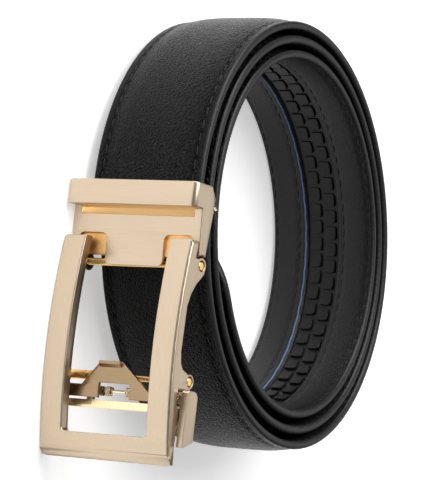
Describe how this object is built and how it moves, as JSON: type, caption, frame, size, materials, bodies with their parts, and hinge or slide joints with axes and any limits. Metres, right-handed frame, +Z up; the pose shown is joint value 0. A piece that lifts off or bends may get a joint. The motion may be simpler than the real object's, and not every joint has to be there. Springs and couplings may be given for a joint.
{
  "type": "ratchet belt",
  "caption": "Leather waist belt lying coiled on its edge, with an automatic slide buckle whose open frame, strap clamp, keeper bar and side release lever are metal.",
  "frame": {"origin": "on the ground, on the lower side face of the buckle frame, in the middle of the arm that the buckle lies on", "axes": "+Z up along the coil's upright axis, which is also the strap's width; +X from the strap clamp to the frame's end bar; -Y out of the buckle's front, away from the coil"},
  "size_m": [0.1334, 0.126, 0.0439],
  "materials": {
    "leather": "black pebbled leather, satin",
    "track_plastic": "black moulded plastic, satin",
    "brushed_gold": "fine brushed pale gold plating",
    "polished_gold": "polished gold plating",
    "steel": "drawn steel wire and rod"
  },
  "bodies": {
    "clamp": {"strap": "leather", "ratchet_track": "track_plastic", "clamp_body": "brushed_gold", "flap_pin": "steel", "frame_hinge_pin": "brushed_gold"},
    "flap": {"clamp_flap": "brushed_gold"},
    "frame": {"buckle_frame": "brushed_gold", "stop_pin": "polished_gold", "stop_sleeve": "polished_gold", "stop_ring": "polished_gold", "spring_rod": "steel"},
    "pawl": {"pawl_plate": "polished_gold", "release_lever": "brushed_gold", "spring_left": "steel", "spring_right": "steel"}
  },
  "joints": [
    {"name": "frame_hinge", "type": "hinge", "parent": "clamp", "child": "frame", "pos_m": [-0.023, 0.00655, 0.0208], "axis": [0, 0, 1], "range_deg": [0, 20]},
    {"name": "pawl_release", "type": "hinge", "parent": "frame", "child": "pawl", "pos_m": [0.0121, 0.00695, 0.0208], "axis": [0, 0, -1], "range_deg": [0, 9], "stiffness_Nm_per_rad": 0.01},
    {"name": "clamp_flap_hinge", "type": "hinge", "parent": "clamp", "child": "flap", "pos_m": [-0.0391, 0.01005, 0.0208], "axis": [0, 0, 1], "range_deg": [0, 10]}
  ]
}
